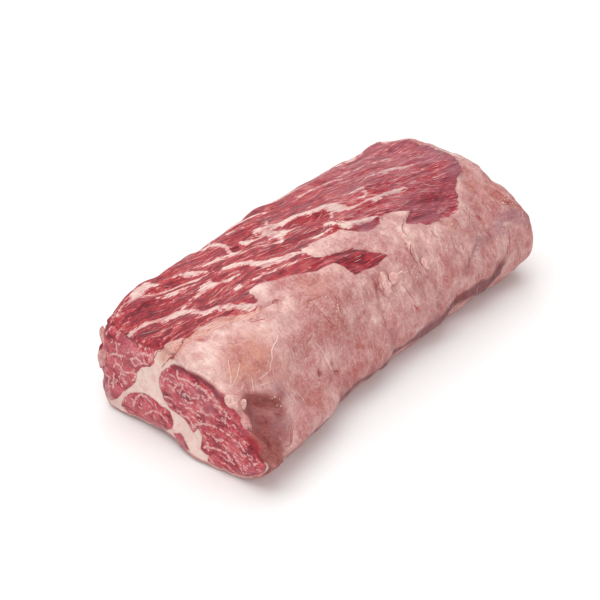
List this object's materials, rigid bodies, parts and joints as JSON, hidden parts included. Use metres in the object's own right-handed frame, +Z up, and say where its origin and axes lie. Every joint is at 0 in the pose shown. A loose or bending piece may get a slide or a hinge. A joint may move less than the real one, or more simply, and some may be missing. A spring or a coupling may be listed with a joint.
{
  "type": "raw beef rib roast",
  "caption": "Raw boneless beef rib roast, cut square at both ends, with a smooth fat cap on one side and streaky red meat on the other.",
  "frame": {"origin": "middle of the footprint, on the surface that the roast lies on", "axes": "+X along the roast from the cut end with the eye muscle to the far cut end, +Y to the bare meat side, -Y to the fat cap side, +Z up"},
  "size_m": [0.4291, 0.2026, 0.1111],
  "materials": {
    "raw_beef": "moist raw beef: red meat streaked with pale fat, pink fat cap"
  },
  "bodies": {
    "root": {"rib_roast": "raw_beef"}
  },
  "joints": []
}
